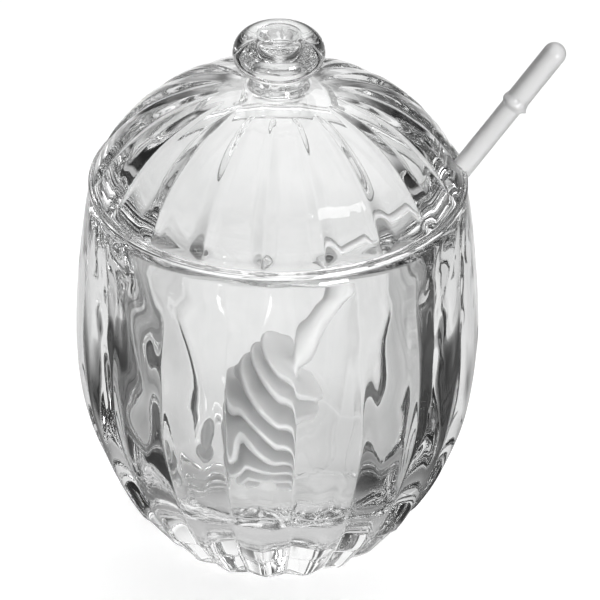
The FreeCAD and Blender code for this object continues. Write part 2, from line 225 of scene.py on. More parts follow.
def wander(x, y, z, height, seed):
    """Sum of four waves, each height * sin(k . p + phase) with its own direction and length."""
    total = 0
    for n, length in enumerate(WAVES):
        a, b = TURN_STEP * n + seed, TILT_STEP * n + SEED_TILT * seed
        k = 2 * pi / length * np.array([cos(a) * cos(b), sin(a) * cos(b), sin(b)])
        wave = np.sin(k[0] * x + k[1] * y + k[2] * z + PHASE_STEP * n + seed)
        total = total + length / WAVES[0] * wave
    return height * total


print(f"waves of {WAVES[0]} to {WAVES[-1]} mm")

# %% [markdown]
# ## The pot
#
# The barrel is two arcs that meet upright at the belly, over a small stepped foot. Inside it
# was shaped by a plunger: a wall with a little draft, a round bowl and a flat floor, so that
# the glass is thick at the bottom. Each run stops a little short of its neighbour, so that
# smooth shading rounds the corner between them.

# %% Pot profile, outside
FOOT_RADIUS, FOOT_ROUND, FOOT_LEAN = 28.0, 0.6, 0.5
FOOT_TOP, RING_RADIUS, RING_ROUND, BELLY_HEIGHT = 9.4, 36.1, 0.3, 56.0
RIM_RADIUS, RIM_ROUND = 46.6, 1.1


def bow(height, spread):
    """The radius of an arc that rises by height while it leans by spread, upright at one end."""
    return (height**2 + spread**2) / (2 * spread)


lower = bow(BELLY_HEIGHT - FOOT_TOP, BELLY - RING_RADIUS)
upper = bow(RIM - BELLY_HEIGHT, BELLY - RIM_RADIUS)
lower_centre = (BELLY - lower, BELLY_HEIGHT)
upper_centre = (BELLY - upper, BELLY_HEIGHT)
rim_out = (RIM_RADIUS - RIM_ROUND, RIM - RIM_ROUND)

outside = joined(
    line((0, 0), (FOOT_RADIUS - FOOT_ROUND, 0), 9),
    arc((FOOT_RADIUS - FOOT_ROUND, FOOT_ROUND), FOOT_ROUND, -90, 0, 4),
    line((FOOT_RADIUS + FOOT_LEAN, 0.8), (RING_RADIUS - 0.7, FOOT_TOP - 0.2), 14),
    arc((RING_RADIUS - RING_ROUND, FOOT_TOP + RING_ROUND), RING_ROUND, -90, -20, 4),
    arc(lower_centre, lower, angle_of(lower_centre, (RING_RADIUS, FOOT_TOP)) + 0.5, 0, 62),
    arc(upper_centre, upper, 0, angle_of(upper_centre, rim_out) - 0.1, 44),
    arc(rim_out, RIM_ROUND, 10, 90, 6),
)
print(f"pot, outside: {len(outside)} rows, arcs of radius {lower:.0f} and {upper:.0f}")

# %% Pot profile, inside
MOUTH_RADIUS, FLOOR, BOWL_RADIUS, WALL_DRAFT = 42.0, 11.0, 34.0, 2.6

rim_in = (MOUTH_RADIUS + RIM_ROUND, RIM - RIM_ROUND)
bowl_middle = FLOOR + BOWL_RADIUS
slope = radians(WALL_DRAFT)
floor_flat = MOUTH_RADIUS - (RIM - bowl_middle) * tan(slope) - BOWL_RADIUS / cos(slope)
wall_foot = (floor_flat + BOWL_RADIUS * cos(slope), bowl_middle - BOWL_RADIUS * sin(slope))

inside = joined(
    line((RIM_RADIUS - RIM_ROUND - 1, RIM), (MOUTH_RADIUS + RIM_ROUND, RIM), 3),
    arc(rim_in, RIM_ROUND, 100, 182, 6),
    line((MOUTH_RADIUS - 0.1, RIM - 1.6), wall_foot, 18),
    arc((floor_flat, bowl_middle), BOWL_RADIUS, -WALL_DRAFT, -90, 26),
    line((floor_flat, FLOOR), (0, FLOOR), 5),
)
print(f"pot, inside: {len(inside)} rows, and the floor is flat to radius {floor_flat:.1f}")

# %% [markdown]
# The profile is carried round the axis, and the flutes are taken out of the outer rows only.
# At the foot they fill the whole barrel, so that the lobes meet in cusps, and from there they
# narrow upwards and end in a round tip below the rim.

# %% Pot flutes
FLUTE_TIP, TIP_ROUND = 90.6, 14        # where a flute ends, and how suddenly
FLUTE_REACH, FLUTE_FALL = 0.42, 2.6    # share of the height where the bell falls, and how steeply
TOP_WIDTH, MORE_WIDTH = 3.0, 4.0       # mm: half width at the top, and what the foot has more
TOP_DEPTH, MORE_DEPTH = 0.1, 2.3


def pot_flute(r, z):
    """Half width and depth of a flute by height: both are largest at the foot, fall off along a
    bell curve on the way up, and shrink to nothing at the tip."""
    share = np.clip((z - FOOT_TOP) / (FLUTE_TIP - FOOT_TOP), 0, 1)
    tip = np.sqrt(1 - share**TIP_ROUND)
    small = np.minimum(r / RING_RADIUS, 1)
    bell = np.exp(-(share / FLUTE_REACH)**FLUTE_FALL)
    width = (TOP_WIDTH + MORE_WIDTH * bell) * tip * small
    depth = (TOP_DEPTH + MORE_DEPTH * bell) * tip**2 * small
    return width, depth


for level in (FOOT_TOP, BELLY_HEIGHT):
    half, deep = pot_flute(BELLY, level)
    print(f"flute at height {level}: {2 * half:.1f} mm wide, {deep:.2f} mm deep")

# %% Pot surface
POT_WAVE, POT_SEED = 0.07, 0.7
INWARDS = 0.06                         # mm that keep the wavy skin within the belly's size
FADE = 6.0                             # mm over which the waves begin and end


def make_pot():
    """Radius of a row and column: the profile's, less the flute's cut at that distance from
    the flute's line, with wander."""
    theta, own = columns(POT_TURN)
    r = outside[:, :1] + 0 * theta
    z = outside[:, 1:] + 0 * theta
    width, depth = pot_flute(r, z)
    carved = r - flute_cut(r * np.sin(own), width, depth)
    edge = int(np.argmax(outside[:, 1] > 0)) - 1     # the last row of the flat underside
    carved[:edge] = r[:edge] * carved[edge] / r[edge]
    inner_r, inner_z = inside[:, :1] + 0 * theta, inside[:, 1:] + 0 * theta
    r, z = np.vstack([carved, inner_r]), np.vstack([z, inner_z])
    fade = np.clip(z / FADE, 0, 1) * np.clip((RIM - z) / FADE, 0, 1)
    waves = wander(r * np.cos(theta), r * np.sin(theta), z, POT_WAVE, POT_SEED)
    return turned("pot_glass", r + fade * (waves - INWARDS), z, theta)


pot = make_pot()

# %% [markdown]
# ## The lid
#
# Its section is a flank arc that leaves the rim almost upright, a crown arc over it, a neck and
# a ring-shaped knob with a hollow in its top. Below the bead a short skirt keeps it centred in
# the mouth. The two arcs of the dome touch where one line passes through both their centres.

# %% Lid dome and knob
FLANK, FLANK_DROP, CROWN = 42.0, 13.75, 65.1
BEAD_HEIGHT, BEAD_ROUND = 1.8, 0.7
COLLAR, COLLAR_ROUND, NECK, NECK_FLARE = 7.5, 0.5, 7.0, 1.6
KNOB_RING, KNOB_ROUND, DISH_DEPTH, DISH_EDGE = 6.35, 5.15, 2.4, 1.1

flank_centre = (RIM_RADIUS - sqrt(FLANK**2 - FLANK_DROP**2), RIM - FLANK_DROP)
crown_rise = sqrt((CROWN - FLANK)**2 - flank_centre[0]**2)
crown_centre = (0, flank_centre[1] - crown_rise)
meet = (flank_centre[0] * CROWN / (CROWN - FLANK),
        crown_centre[1] + crown_rise * CROWN / (CROWN - FLANK))
flank_foot = (flank_centre[0] + sqrt(FLANK**2 - (FLANK_DROP + BEAD_HEIGHT)**2), RIM + BEAD_HEIGHT)
neck_foot = crown_centre[1] + sqrt(CROWN**2 - COLLAR**2)
knob_top = lid_high[2]
knob_height = knob_top - KNOB_ROUND
neck_top = knob_height - sqrt(KNOB_ROUND**2 - (NECK - KNOB_RING)**2)
dish = (KNOB_RING**2 + DISH_DEPTH**2) / (2 * DISH_DEPTH)
dish_centre = (0, knob_top - DISH_DEPTH + dish)

lid_outside = joined(
    arc(dish_centre, dish, -90,
        angle_of(dish_centre, (KNOB_RING - DISH_EDGE, knob_top)) + 0.1, 9),
    arc((KNOB_RING, knob_height), KNOB_ROUND, 99, -78, 40),
    line((NECK + 0.1, neck_top + 0.2), (NECK, neck_foot + NECK_FLARE + 0.6), 5),
    line((NECK + 0.05, neck_foot + NECK_FLARE), (COLLAR, neck_foot + 0.6), 3),
    arc((COLLAR + COLLAR_ROUND, neck_foot + COLLAR_ROUND), COLLAR_ROUND, 180, 262, 4),
    arc(crown_centre, CROWN, angle_of(crown_centre, (COLLAR + 1.2, neck_foot)) - 0.1,
        angle_of(crown_centre, meet), 36),
    arc(flank_centre, FLANK, angle_of(flank_centre, meet),
        angle_of(flank_centre, flank_foot) + 0.3, 62),
)
print(f"lid, outside: {len(lid_outside)} rows, dome to {neck_foot:.1f}, knob to {knob_top:.1f}")

# %% Lid bead, skirt and inside
SEAT = RIM + 0.05                      # a breath of air between lid and rim
SKIRT_RADIUS, SKIRT_INNER, SKIRT_DEPTH, SKIRT_ROUND = 41.5, 38.0, 3.5, 0.8
CROWN_WALL, INNER_CROWN = 5.5, 50.0

inner_apex = crown_centre[1] + CROWN - CROWN_WALL
inner_drop = INNER_CROWN - (inner_apex - RIM)
inner_flank = (INNER_CROWN**2 - SKIRT_INNER**2 - inner_drop**2) / (2 * (INNER_CROWN - SKIRT_INNER))
inner_share = INNER_CROWN / (INNER_CROWN - inner_flank)
inner_meet = ((SKIRT_INNER - inner_flank) * inner_share,
              RIM - inner_drop + inner_drop * inner_share)
inner_flank_centre, inner_crown_centre = (SKIRT_INNER - inner_flank, RIM), (0, RIM - inner_drop)
bead_low, bead_high = SEAT + BEAD_ROUND, RIM + BEAD_HEIGHT - BEAD_ROUND
skirt_low = RIM - SKIRT_DEPTH + SKIRT_ROUND

lid_rest = joined(
    arc((BEAD - BEAD_ROUND, bead_high), BEAD_ROUND, 90, 0, 5),
    arc((BEAD - BEAD_ROUND, bead_low), BEAD_ROUND, 0, -90, 5),
    line((BEAD - 1.5, SEAT), (SKIRT_RADIUS + 0.3, SEAT), 4),
    line((SKIRT_RADIUS, SEAT - 0.3), (SKIRT_RADIUS, RIM - SKIRT_DEPTH + 0.6), 4),
    arc((SKIRT_RADIUS - SKIRT_ROUND, skirt_low), SKIRT_ROUND, 0, -90, 4),
    arc((SKIRT_INNER + SKIRT_ROUND, skirt_low), SKIRT_ROUND, -90, -180, 4),
    arc(inner_flank_centre, inner_flank, 0, angle_of(inner_flank_centre, inner_meet), 18),
    arc(inner_crown_centre, INNER_CROWN, angle_of(inner_crown_centre, inner_meet), 90, 24),
)
print(f"lid, below and inside: {len(lid_rest)} rows, crown {CROWN_WALL} mm thick")

# %% [markdown]
# The lid's flutes start blunt just above the bead and taper out on the crown. They follow the
# dome rather than the axis, so each point of the profile moves along its own normal. The waves
# leave out the bead and the skirt, because they have to fit, and the knob's top.

# %% Lid surface
LID_FLUTE_START, LID_FLUTE_GROWTH = 0.6, 4.0      # mm above the bead, and mm to its full size
LID_FLUTE_TOP_RADIUS = 15.0                       # where it ends on the crown
LID_FLUTE_WIDTH, LID_FLUTE_DEPTH = 3.3, 1.25
WIDTH_TAPER, DEPTH_TAPER = (2.5, 0.6), (2, 0.8)   # inner and outer power of each
LID_WAVE, LID_SEED, BEAD_CLEAR = 0.09, 2.3, 3.0
KNOB_FADE, AXIS_FADE = 8.0, 10.0
DOME = slice(-95, None)                           # the last rows outside: crown and flank


def make_lid():
    """Each outer point moves inwards along the profile's own normal by the flute's cut. The
    flute's size follows the distance along the profile from the bead: it grows within a few
    millimetres, then tapers to nothing on the crown. The knob is left round."""
    theta, own = columns(LID_TURN)
    steps = np.hypot(*np.diff(lid_outside, axis=0).T)
    travel = np.concatenate([np.cumsum(steps[::-1])[::-1], [0]]) - LID_FLUTE_START
    end = np.interp(LID_FLUTE_TOP_RADIUS, lid_outside[DOME, 0], travel[DOME])
    share = np.clip(travel / end, 0, 1)
    grown = np.sin(np.clip(travel / LID_FLUTE_GROWTH, 0, 1) * pi / 2)
    narrower, shallower = ((1 - share**a)**b for a, b in (WIDTH_TAPER, DEPTH_TAPER))
    width = (LID_FLUTE_WIDTH * np.sqrt(grown) * narrower)[:, None]
    depth = (LID_FLUTE_DEPTH * grown * shallower)[:, None]
    along = np.gradient(lid_outside, axis=0)
    along /= np.hypot(*along.T)[:, None]
    r = lid_outside[:, :1] + 0 * theta
    z = lid_outside[:, 1:] + 0 * theta
    cut = flute_cut(r * np.sin(own), width, depth)
    r, z = r + cut * along[:, 1:], z - cut * along[:, :1]
    r = np.vstack([r, lid_rest[:, :1] + 0 * theta])
    z = np.vstack([z, lid_rest[:, 1:] + 0 * theta])
    fade = (np.clip((z - RIM - BEAD_CLEAR) / FADE, 0, 1) * np.clip(r / AXIS_FADE, 0, 1)
            * np.clip((knob_top - z) / KNOB_FADE, 0, 1))
    waves = fade * wander(r * np.cos(theta), r * np.sin(theta), z, LID_WAVE, LID_SEED)
    return turned("lid_glass", r + waves, z + waves, theta)


lid = make_lid()

# %% [markdown]
# ## The way out for the dipper
#
# The dipper's handle leaves through a notch that is shared by lid and rim. Both halves are
# ground cuts with crisp edges, so they are cut here with a Boolean against a simple bar, which
# is the one shape that a grid of rows and columns can't follow.

# %% The dipper's own line
DIP_TURN, DIP_FOOT = radians(10.0), 15.0          # its heading, and its foot's distance behind
TIP, GRIP, HANDLE = 3.0, 2.95, 2.7                # radii
upright = np.array([0, 0, 1.0])
heading = np.array([cos(DIP_TURN), sin(DIP_TURN), 0])
dip_start = -DIP_FOOT * heading + (dip_low[2] + TIP) * upright
dip_end = (dip_high[0] - GRIP) / cos(DIP_TURN) * heading + (dip_high[2] - GRIP) * upright
dip_length = float(np.linalg.norm(dip_end - dip_start))
dip_axis = (dip_end - dip_start) / dip_length
dip_side = np.cross(upright, heading)
dip_over = np.cross(dip_axis, dip_side)
dip_over = dip_over * np.sign(dip_over[2])
lean = atan(np.dot(dip_axis, heading) / dip_axis[2])
crossing = dip_start + dip_axis * (RIM_RADIUS + DIP_FOOT) / sin(lean)
print(f"dipper leans {np.degrees(lean):.1f} degrees and leaves at height {crossing[2]:.1f}")

# %% Cutting tools
CRISP = radians(50)                    # an edge sharper than this stays an edge
BAR_POINTS = 25                        # points in the half circle


def bar(name, centre, axes, length, width, closed_at):
    """A bar along the first of three axes. Its outline is a half circle, closed by straight
    sides at a distance over it, or under it where that distance is less than nothing."""
    along, across, over = axes
    t = np.linspace(0, pi, BAR_POINTS)
    ring = np.column_stack([width * np.cos(t), -np.sign(closed_at) * width * np.sin(t)])
    ring = np.vstack([ring, [[-width, closed_at], [width, closed_at]]])
    ends = [centre + end * length / 2 * along + ring[:, :1] * across + ring[:, 1:] * over
            for end in (-1, 1)]
    n = len(ring)
    sides = [[i, (i + 1) % n, n + (i + 1) % n, n + i] for i in range(n)]
    faces = [list(range(n))[::-1], list(range(n, 2 * n)), *sides]
    return facing_out(new_object(name, np.vstack(ends), faces, smooth=False))


def cut_away(piece, cutter):
    """The piece less the cutter, as a plain mesh with crisp edges where it was cut."""
    tool = piece.modifiers.new("notch", "BOOLEAN")
    tool.object, tool.operation, tool.solver = cutter, "DIFFERENCE", "MANIFOLD"
    done = bpy.data.meshes.new_from_object(
        piece.evaluated_get(bpy.context.evaluated_depsgraph_get()))
    piece.modifiers.clear()
    piece.data = done
    done.polygons.foreach_set("use_smooth", [True] * len(done.polygons))
    done.set_sharp_from_angle(angle=CRISP)
    bpy.data.objects.remove(cutter)
    print(f"{piece.name}: {len(done.polygons)} faces after the notch")


# %% The notch in rim and lid
SLACK = 0.35                           # mm of air round the handle
NOTCH = HANDLE + SLACK
ARCH_LIFT, ARCH_OUT = 1.5, 43.0        # mm the arch stands over the rim, and its middle's radius
RIM_BAR, RIM_BAR_CLOSED = 31.0, 16.0   # length of each cutter, and where its sides close
LID_BAR, LID_BAR_CLOSED = 18.0, -12.0
arch_top = RIM + ARCH_LIFT + SLACK / tan(lean) + NOTCH / sin(lean)
arch_middle = ARCH_OUT * heading + (arch_top - NOTCH) * upright
cut_away(pot, bar("pot_notch", crossing, (dip_axis, dip_side, dip_over),
                  RIM_BAR, NOTCH, RIM_BAR_CLOSED))
cut_away(lid, bar("lid_notch", arch_middle, (heading, dip_side, upright),
                  LID_BAR, NOTCH, LID_BAR_CLOSED))

# %% [markdown]
# ## The dipper
#
# A dipper is turned about its own line: a small ball, a head of thin discs that thin out to
# their rims so that the mould lets go of them, a plain handle, a little collar and a thicker
# grip with a round end. It could be put together from rods and discs, but each would leave a
# wall inside the plastic that light finds. One profile turned as a whole leaves none.

# %% Dipper head and collar
CORE, HEAD_START, HEAD_END_RADIUS, HEAD_RADIUS = 3.6, 3.85, 9.5, 12.0
DISCS, PITCH, DISC = 8, 3.85, 1.6
DISC_EDGE, DISC_ROOT = 0.40, 0.66      # half thickness at rim and core, as shares of DISC
STOP, STOP_LENGTH, STOP_EASE, GRIP_LENGTH = 3.35, 1.9, 0.7, 18.2
stop_top = dip_length + GRIP - GRIP_LENGTH
stop_middle = stop_top - STOP_LENGTH / 2


def disc_run(middle, rim):
    """One disc: up its lower face, round its rim and down its upper face. It is thicker at the
    core than at the rim, a draft of a few degrees."""
    edge, root = DISC * DISC_EDGE, DISC * DISC_ROOT
    return np.vstack([
        line((CORE, middle - root), (rim - edge, middle - edge), 5),
        arc((rim - edge, middle), edge, -80, 80, 5),
        line((rim - edge, middle + edge), (CORE, middle + root), 5),
    ])


def swell(middle, reach):
    """The collar: a soft swelling, from the handle's radius to the grip's, with the collar's
    radius half way. Its shape is 1 - t squared, squared, for t from -1 to 1."""
    t = np.linspace(-1, 1, 19)
    towards_half = np.clip(1 - np.abs(t) * 4, 0, 1) * -np.sign(t)
    plain = np.where(t < 0, HANDLE, GRIP) + (GRIP - HANDLE) / 2 * towards_half
    return np.column_stack([plain + (STOP - plain) * (1 - t**2)**2, middle + reach * t])


def dipper_profile():
    """Ball, discs whose rims follow a shallow arc, handle, collar, grip and round end."""
    head = (DISCS - 1) * PITCH + DISC
    curve = bow(head / 2, HEAD_RADIUS - HEAD_END_RADIUS)
    middles = HEAD_START + DISC / 2 + np.arange(DISCS) * PITCH
    rims = HEAD_RADIUS - curve + np.sqrt(curve**2 - (middles - HEAD_START - head / 2)**2)
    head_top = HEAD_START + head
    return joined(
        arc((0, 0), TIP, -90, 20, 10),
        *[disc_run(m, r) for m, r in zip(middles, rims)],
        line((HANDLE + 0.5, head_top + 0.6), (HANDLE, head_top + 1.4), 3),
        line((HANDLE, head_top + 4), (HANDLE, stop_top - STOP_LENGTH - 0.9), 12),
        swell(stop_middle, STOP_LENGTH / 2 + STOP_EASE),
        line((GRIP, stop_top + 0.8), (GRIP, stop_top + 3.2), 13),
        line((GRIP, stop_top + 4), (GRIP, dip_length), 7),
        arc((0, dip_length), GRIP, 0, 90, 10),
    )


print(f"dipper: {len(dipper_profile())} rows, {dip_length + TIP + GRIP:.1f} mm long")

# %% Dipper surface
ROUND_POINTS = 64                      # columns round the dipper, and corners of the table
# the mould's two small marks: angle, place along the line, height of the mark, its size
MARKS = (
    (160.0, stop_top + 0.6, -0.3, 0.5),           # the dimple where the plastic went in
    (-118.0, stop_middle - 0.4, 0.4, 0.4),        # a nub on the collar
)


def make_dipper():
    """The point is start + s * axis + radius * (cos t * side + sin t * over). Each mark adds
    its height * exp(-(distance / size) ** 4) to the radius."""
    profile = dipper_profile()
    t = np.linspace(0, 2 * pi, ROUND_POINTS, endpoint=False)
    radius, along = profile[:, :1] + 0 * t, profile[:, 1:] + 0 * t
    for angle, place, tall, size in MARKS:
        away = np.hypot(radius * ((t - radians(angle) + pi) % (2 * pi) - pi), along - place)
        radius = radius + tall * np.exp(-(away / size)**4)
    radius[0], radius[-1] = 0, 0
    piece = turned("dipper_plastic", radius, along, t)
    axes = np.vstack([dip_side, np.cross(dip_axis, dip_side), dip_axis])
    places = dip_start * MM + corners_of(piece.data) @ axes
    piece.data.vertices.foreach_set("co", places.ravel())
    piece.data.update()
    return facing_out(piece)


dipper = make_dipper()

# %% [markdown]
# ## Glass and plastic
#
# Clear glass has hardly any colour of its own. What makes it look like glass is its index, its
# closed skin, and what there is around it to bend and mirror. A Glass shader would do, but the
# Principled one at full transmission looks the same and can be exported. Lamps are let through
# it, so that its shadow is as light as a glass's shadow is. The same few nodes come back in
# every material below, so each has a helper with a plain name.

# %% Node helpers
def material(name):
    """A new node material, with its tree, Principled shader and output."""
    made = bpy.data.materials.new(name)
    made.use_nodes = True
    nodes = made.node_tree.nodes
    return made, made.node_tree, nodes["Principled BSDF"], nodes["Material Output"]


def feed(tree, value, socket):
    """A plain number is set on the socket, and anything else is linked to it."""
    if isinstance(value, (int, float)):
        socket.default_value = value
    else:
        tree.links.new(value, socket)


def calculated(tree, operation, *values):
    """One Math node with those values."""
    made = tree.nodes.new("ShaderNodeMath")
    made.operation = operation
    for value, socket in zip(values, made.inputs):
        feed(tree, value, socket)
    return made.outputs[0]


def ranged(tree, value, low, high, start=0.0, end=1.0, kind="LINEAR"):
    """The value carried from (start, end) to (low, high), clamped at both."""
    made = tree.nodes.new("ShaderNodeMapRange")
    made.interpolation_type = kind
    for socket, number in zip(("From Min", "From Max", "To Min", "To Max"),
                              (start, end, low, high)):
        made.inputs[socket].default_value = number
    tree.links.new(value, made.inputs["Value"])
    return made.outputs["Result"]


# %% Colours, places and patterns
def blended(tree, share, first, second):
    """A colour between two, by a share from 0 to 1."""
    made = tree.nodes.new("ShaderNodeMix")
    made.data_type = "RGBA"
    for socket, value in (("A", first), ("B", second)):
        if isinstance(value, tuple):
            made.inputs[socket].default_value = (*value, 1)
        else:
            tree.links.new(value, made.inputs[socket])
    tree.links.new(share, made.inputs["Factor"])
    return made.outputs["Result"]


def place_of(tree, system="Object"):
    """Where a point is: the vector itself, and its x, y and z."""
    where = tree.nodes.new("ShaderNodeTexCoord").outputs[system]
    parts = tree.nodes.new("ShaderNodeSeparateXYZ")
    tree.links.new(where, parts.inputs[0])
    return where, parts.outputs["X"], parts.outputs["Y"], parts.outputs["Z"]


def noise(tree, size, detail=2.0):
    """A noise texture in object space whose features are about so many millimetres across."""
    made = tree.nodes.new("ShaderNodeTexNoise")
    made.inputs["Scale"].default_value = 1 / (size * MM)
    made.inputs["Detail"].default_value = detail
    tree.links.new(tree.nodes.new("ShaderNodeTexCoord").outputs["Object"], made.inputs["Vector"])
    return made.outputs["Fac"]


def either(tree, share, first, second, out):
    """The first shader, or by a share of 1 the second, on the material's surface."""
    made = tree.nodes.new("ShaderNodeMixShader")
    for value, socket in zip((share, first, second), made.inputs):
        tree.links.new(value, socket)
    tree.links.new(made.outputs[0], out.inputs["Surface"])


# %% Glass
GLASS_INDEX, GLASS_SHADOW = 1.51, 0.92
CLEAR, CORD, CORD_SIZE = (0.998, 1.0, 0.999), (0.965, 0.97, 0.968), 7.0
CORD_BAND, WORN_BAND = (0.35, 0.6), (0.35, 0.65)  # the noise's values between none and full
LEAST_WORN = 0.3                       # share of the wear that the cleanest patch still has
WORN_FOOT = 0.25                       # roughness at the table
WORN_HEIGHT, WORN_SIZE = 0.5, 1.5      # mm: how high the wear reaches, and its patches


def glass_material():
    """Clear glass with faint cords of denser glass in it and, at the foot, the grey of wear."""
    made, tree, skin, out = material("clear_pressed_glass")
    streaks = ranged(tree, noise(tree, CORD_SIZE, 3.0), 0.0, 1.0, *CORD_BAND)
    tree.links.new(blended(tree, streaks, CORD, CLEAR), skin.inputs["Base Color"])
    skin.inputs["IOR"].default_value = GLASS_INDEX
    skin.inputs["Transmission Weight"].default_value = 1.0
    foot = ranged(tree, place_of(tree)[3], WORN_FOOT, 0.0, 0.0, WORN_HEIGHT * MM)
    patches = ranged(tree, noise(tree, WORN_SIZE, 4.0), LEAST_WORN, 1.0, *WORN_BAND)
    tree.links.new(calculated(tree, "MULTIPLY", foot, patches), skin.inputs["Roughness"])
    through = tree.nodes.new("ShaderNodeBsdfTransparent")
    through.inputs["Color"].default_value = (GLASS_SHADOW, GLASS_SHADOW, GLASS_SHADOW, 1)
    path = tree.nodes.new("ShaderNodeLightPath")
    either(tree, path.outputs["Is Shadow Ray"], skin.outputs[0], through.outputs[0], out)
    return made


glass = glass_material()
print(f"{glass.name}: index {GLASS_INDEX}, cords about {CORD_SIZE} mm across")

# %% [markdown]
# The dipper is moulded from a milky plastic. In plain white paint it would look like chalk, so
# light goes into it and comes out nearby, which softens its shading. Its tone drifts a little
# from place to place, and its gloss is even.

# %% Plastic
DARK_TONE, LIGHT_TONE, TONE_SIZE = (0.90, 0.90, 0.90), (0.99, 0.99, 0.99), 5.0
PLASTIC_INDEX = 1.49


def plastic_material():
    """Milky plastic: a rod of it is cloudy, a little darker here and lighter there."""
    made, tree, skin, out = material("milky_plastic")
    tone = blended(tree, noise(tree, TONE_SIZE), DARK_TONE, LIGHT_TONE)
    tree.links.new(tone, skin.inputs["Base Color"])
    for socket, value in (("Roughness", 0.3), ("IOR", PLASTIC_INDEX),
                          ("Transmission Weight", 0.6), ("Subsurface Weight", 0.25),
                          ("Subsurface Radius", (1, 1, 1)), ("Subsurface Scale", 0.0015)):
        skin.inputs[socket].default_value = value
    return made


plastic = plastic_material()
print(f"{plastic.name}: index {PLASTIC_INDEX}, clouds about {TONE_SIZE} mm across")

# %% Each piece gets its finish and its body, and the frame's part for it is hidden
for piece, look, node, slot in ((pot, glass, "pot", "crystal_glass"),
                                (lid, glass, "lid", "crystal_glass"),
                                (dipper, plastic, "dipper", "frosted_plastic")):
    piece.data.materials.clear()
    piece.data.materials.append(look)
    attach(piece, "root")
    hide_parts(node)
    print(f"{piece.name} stands for {node}, finished as {slot}")

# %% [markdown]
# ## The table
#
# Glass is lit by what it sees. A plain white table would make it plain white, so the table is
# white for the eye only. For light that comes off the glass or through it, it glows in a pool
# round the middle line and is dark beside that, and this edge between light and dark is what
# draws the lines of the glass. Far out and in front the table glows again, so that the glass
# doesn't go black from the side. Dark boards beside the pot would draw the same lines, but
# they would stand in the way of other cameras.

# %% Table
AIR = 0.1                              # mm of air under the foot, or its glass wouldn't mirror
CAMERA_LIFT = 0.4                      # glow for the camera, which keeps the table white
TABLE_RINGS = ((90.0, 100.0), (500.0, 600.0))     # mm: half widths of its middle and its edge
MOVED_BACK, MOVED_FORWARD = 0.3, 30.0  # a share of the half width, and mm
POOL_WIDTH, POOL_SPREAD = 33.0, 0.65   # mm, and how much wider per mm behind the middle
POOL_START, POOL_END, POOL_LIGHT, POOL_DARK = 0.35, 1.4, 0.9, 0.04
FAR_START, FAR_END = 4.0, 6.0          # in pool widths, as the two above
FRONT_START, FRONT_END = -40.0, -110.0
OPEN_LIGHT = 0.5                       # the glow far out and in front
SHADE_START, SHADE_END, SHADE = 25.0, 70.0, 0.68  # the pot's own shade round its foot


def table_glow(tree):
    """How bright the table is by place. The distance from the middle line, in pool widths,
    goes from light to dark. The open table is added, and all of it is shaded near the foot."""
    where, x, y, _ = place_of(tree)
    spread = calculated(tree, "MULTIPLY_ADD", y, POOL_SPREAD, POOL_WIDTH * MM)
    wide = calculated(tree, "MAXIMUM", spread, POOL_WIDTH * MM)
    aside = calculated(tree, "ABSOLUTE", calculated(tree, "DIVIDE", x, wide))
    light = ranged(tree, aside, POOL_LIGHT, POOL_DARK, POOL_START, POOL_END, "SMOOTHSTEP")
    for value, start, end in ((aside, FAR_START, FAR_END), (y, FRONT_START * MM, FRONT_END * MM)):
        more = ranged(tree, value, 0.0, OPEN_LIGHT, start, end, "SMOOTHSTEP")
        light = calculated(tree, "MAXIMUM", light, more)
    reach = tree.nodes.new("ShaderNodeVectorMath")
    reach.operation = "LENGTH"
    tree.links.new(where, reach.inputs[0])
    shade = ranged(tree, reach.outputs["Value"], SHADE, 1.0, SHADE_START * MM, SHADE_END * MM,
                   "SMOOTHSTEP")
    return calculated(tree, "MULTIPLY", light, shade)


def table_material():
    """White and matt, with a glow for the camera, and the pool of light for the glass."""
    made, tree, skin, out = material("white_table")
    for socket, value in (("Base Color", (0.9, 0.9, 0.9, 1)), ("Roughness", 0.9),
                          ("Specular IOR Level", 0.1), ("Emission Color", (1, 1, 1, 1))):
        skin.inputs[socket].default_value = value
    ray = tree.nodes.new("ShaderNodeLightPath").outputs
    lift = calculated(tree, "MULTIPLY", ray["Is Camera Ray"], CAMERA_LIFT)
    tree.links.new(lift, skin.inputs["Emission Strength"])
    glow = tree.nodes.new("ShaderNodeEmission")
    tree.links.new(table_glow(tree), glow.inputs["Strength"])
    by_glass = calculated(tree, "MAXIMUM", ray["Is Transmission Ray"], ray["Is Glossy Ray"])
    either(tree, by_glass, skin.outputs[0], glow.outputs[0], out)
    return made


def make_floor():
    """A flat oval table: an inner oval and a ring of quads round it, which reaches further
    behind the pot than in front of it. It lies lower by the air under the foot."""
    t = np.linspace(0, 2 * pi, ROUND_POINTS, endpoint=False)
    rings = [np.column_stack([x * np.cos(t), y * np.sin(t) + MOVED_BACK * y - MOVED_FORWARD,
                              0 * t - AIR])
             for x, y in TABLE_RINGS]
    n = ROUND_POINTS
    faces = [list(range(n)), *([i, n + i, n + (i + 1) % n, (i + 1) % n] for i in range(n))]
    made = new_object("floor", np.vstack(rings), faces, smooth=False)
    made.data.materials.append(table_material())


make_floor()
print(f"table {2 * TABLE_RINGS[1][0]:.0f} x {2 * TABLE_RINGS[1][1]:.0f} mm, {AIR} mm down")

# %% [markdown]
# ## The surroundings
#
# Over the table there is a dim sky with three soft lights in it: one above, one behind and one
# in front. Lamps could stand there, but each would show its square in the glass, so the lights
# are smooth patches of the sky's own colour, with wide edges. The camera itself sees plain
# white. From the horizon down the ground glows as the open table does.

# %% Surroundings
SKY_BASE = 0.02
GROUND_START, GROUND_END = 0.05, -0.1  # height of a direction: the ground's light begins, is full
# direction, half angle of the full light, half angle where it ends, strength
SKY_LIGHTS = (
    ((0.2, 0.3, 1.0), 25, 50, 1.2),
    ((0.0, 0.87, 0.5), 15, 30, 1.0),
    ((0.0, -1.0, 0.2), 15, 30, 0.5),
)


